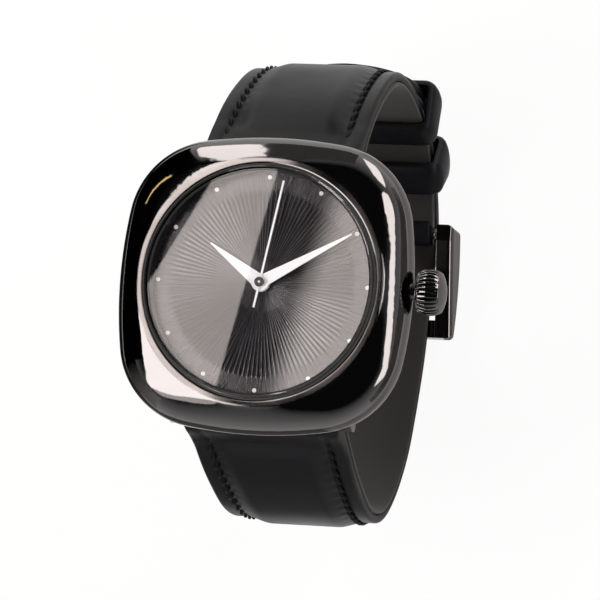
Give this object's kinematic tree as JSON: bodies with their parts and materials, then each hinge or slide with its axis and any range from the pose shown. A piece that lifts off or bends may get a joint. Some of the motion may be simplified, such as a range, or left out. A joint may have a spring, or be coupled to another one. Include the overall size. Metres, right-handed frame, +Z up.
{
  "type": "cushion case watch",
  "caption": "Cushion-shaped black wristwatch with a round dial, dot hour marks, side crown, leather strap in its worn loop and a pin buckle.",
  "frame": {"origin": "centre of the case back's outer face", "axes": "+Z up through the dial, +Y to 12 o'clock, +X to the crown at 3 o'clock"},
  "size_m": [0.0411, 0.0616, 0.0678],
  "materials": {
    "black_steel": "polished black coating on steel",
    "dark_ring": "satin black",
    "crystal_glass": "polished mineral glass",
    "back_steel": "brushed",
    "gasket_rubber": "moulded",
    "ring_plastic": "moulded",
    "steel": "fine turned",
    "dial_paint": "satin metallic paint with radial grooves",
    "white_paint": "semi-gloss white paint",
    "black_cap": "polished black",
    "plate_metal": "nickel plated",
    "board_plastic": "solder mask",
    "core_iron": "annealed",
    "copper": "enamelled copper wire",
    "rotor_magnet": "sintered",
    "gear_brass": "cut brass",
    "strap_leather": "glossy black, smooth",
    "padding_foam": "felted filler",
    "lining_leather": "matte nubuck"
  },
  "bodies": {
    "case": {"case_body": "black_steel", "crystal": "crystal_glass", "crystal_gasket": "gasket_rubber", "dial_flange": "dark_ring", "case_back": "back_steel", "case_back_gasket": "gasket_rubber", "movement_ring": "ring_plastic", "crown_tube": "steel", "dial": "dial_paint", "hour_dots": "white_paint", "main_plate": "plate_metal", "train_bridge": "plate_metal", "bridge_screws": "steel", "circuit_board": "board_plastic", "quartz_can": "steel", "coil_core": "core_iron", "coil_winding": "copper", "stator": "core_iron", "battery": "steel", "battery_clamp": "steel", "strap_12_outer": "strap_leather", "strap_12_padding": "padding_foam", "strap_12_lining": "lining_leather", "strap_6_outer": "strap_leather", "strap_6_padding": "padding_foam", "strap_6_lining": "lining_leather", "fixed_keeper": "strap_leather", "strap_12_bar": "steel", "strap_12_bar_spring": "steel", "strap_6_bar": "steel", "strap_6_bar_spring": "steel", "buckle_bar": "steel", "buckle_bar_spring": "steel"},
    "seconds_train": {"seconds_wheel": "gear_brass", "seconds_hand": "white_paint", "seconds_cap": "black_cap"},
    "minute_train": {"centre_wheel": "gear_brass", "cannon_pinion": "gear_brass", "minute_hand": "white_paint"},
    "hour_train": {"hour_wheel": "gear_brass", "hour_hand": "white_paint"},
    "third_wheel": {"third_wheel": "gear_brass"},
    "intermediate_wheel": {"intermediate_wheel": "gear_brass"},
    "rotor": {"rotor": "rotor_magnet"},
    "minute_wheel": {"minute_wheel": "gear_brass"},
    "setting_lever": {"setting_lever": "steel"},
    "crown": {"crown": "black_steel", "crown_gasket": "gasket_rubber", "winding_stem": "steel", "sliding_pinion": "steel"},
    "floating_keeper": {"floating_keeper": "strap_leather"},
    "buckle_frame": {"buckle_frame": "black_steel"},
    "buckle_prong": {"buckle_prong": "black_steel"},
    "strap_12_bar_tip_left": {"strap_12_bar_tip_left": "steel"},
    "strap_12_bar_tip_right": {"strap_12_bar_tip_right": "steel"},
    "strap_6_bar_tip_left": {"strap_6_bar_tip_left": "steel"},
    "strap_6_bar_tip_right": {"strap_6_bar_tip_right": "steel"},
    "buckle_bar_tip_left": {"buckle_bar_tip_left": "steel"},
    "buckle_bar_tip_right": {"buckle_bar_tip_right": "steel"}
  },
  "joints": [
    {"name": "seconds_hand_turn", "type": "hinge", "parent": "case", "child": "seconds_train", "pos_m": [0, 0, 0], "axis": [0, 0, 1], "continuous": true},
    {"name": "minute_hand_turn", "type": "hinge", "parent": "case", "child": "minute_train", "pos_m": [0, 0, 0], "axis": [0, 0, 1], "continuous": true},
    {"name": "hour_hand_turn", "type": "hinge", "parent": "case", "child": "hour_train", "pos_m": [0, 0, 0], "axis": [0, 0, 1], "continuous": true},
    {"name": "third_wheel_turn", "type": "hinge", "parent": "case", "child": "third_wheel", "pos_m": [0.0018, 0.00312, 0], "axis": [0, 0, 1], "continuous": true},
    {"name": "intermediate_wheel_turn", "type": "hinge", "parent": "case", "child": "intermediate_wheel", "pos_m": [-0.00124, -0.00342, 0], "axis": [0, 0, 1], "continuous": true},
    {"name": "rotor_turn", "type": "hinge", "parent": "case", "child": "rotor", "pos_m": [-0.0035, -0.00424, 0], "axis": [0, 0, 1], "continuous": true},
    {"name": "minute_wheel_turn", "type": "hinge", "parent": "case", "child": "minute_wheel", "pos_m": [-0.00184, -0.00184, 0], "axis": [0, 0, 1], "continuous": true},
    {"name": "crown_pull", "type": "slide", "parent": "case", "child": "setting_lever", "axis": [1, 0, 0], "range_m": [0, 0.001]},
    {"name": "crown_turn", "type": "hinge", "parent": "setting_lever", "child": "crown", "pos_m": [0, 0, 0.00445], "axis": [1, 0, 0], "continuous": true},
    {"name": "floating_keeper_slide", "type": "hinge", "parent": "case", "child": "floating_keeper", "pos_m": [0, 0.00319, -0.03114], "axis": [1, 0, 0], "range_deg": [-4, 6]},
    {"name": "buckle_frame_hinge", "type": "hinge", "parent": "case", "child": "buckle_frame", "pos_m": [0, 0.016, -0.053], "axis": [1, 0, 0], "range_deg": [0, 3]},
    {"name": "buckle_prong_hinge", "type": "hinge", "parent": "buckle_frame", "child": "buckle_prong", "pos_m": [0, 0.016, -0.053], "axis": [1, 0, 0], "range_deg": [0, 3]},
    {"name": "strap_12_bar_tip_left_press", "type": "slide", "parent": "case", "child": "strap_12_bar_tip_left", "axis": [1, 0, 0], "range_m": [0, 0.0008], "stiffness_N_per_m": 200},
    {"name": "strap_12_bar_tip_right_press", "type": "slide", "parent": "case", "child": "strap_12_bar_tip_right", "axis": [-1, 0, 0], "range_m": [0, 0.0008], "stiffness_N_per_m": 200},
    {"name": "strap_6_bar_tip_left_press", "type": "slide", "parent": "case", "child": "strap_6_bar_tip_left", "axis": [1, 0, 0], "range_m": [0, 0.0008], "stiffness_N_per_m": 200},
    {"name": "strap_6_bar_tip_right_press", "type": "slide", "parent": "case", "child": "strap_6_bar_tip_right", "axis": [-1, 0, 0], "range_m": [0, 0.0008], "stiffness_N_per_m": 200},
    {"name": "buckle_bar_tip_left_press", "type": "slide", "parent": "case", "child": "buckle_bar_tip_left", "axis": [1, 0, 0], "range_m": [0, 0.0008], "stiffness_N_per_m": 200},
    {"name": "buckle_bar_tip_right_press", "type": "slide", "parent": "case", "child": "buckle_bar_tip_right", "axis": [-1, 0, 0], "range_m": [0, 0.0008], "stiffness_N_per_m": 200}
  ],
  "couplings": [
    {"joint": "minute_hand_turn", "follows": "seconds_hand_turn", "ratio": 0.016667},
    {"joint": "hour_hand_turn", "follows": "seconds_hand_turn", "ratio": 0.0013889},
    {"joint": "third_wheel_turn", "follows": "seconds_hand_turn", "ratio": -0.13333},
    {"joint": "intermediate_wheel_turn", "follows": "seconds_hand_turn", "ratio": -6},
    {"joint": "rotor_turn", "follows": "seconds_hand_turn", "ratio": 30},
    {"joint": "minute_wheel_turn", "follows": "seconds_hand_turn", "ratio": -0.0055556}
  ]
}
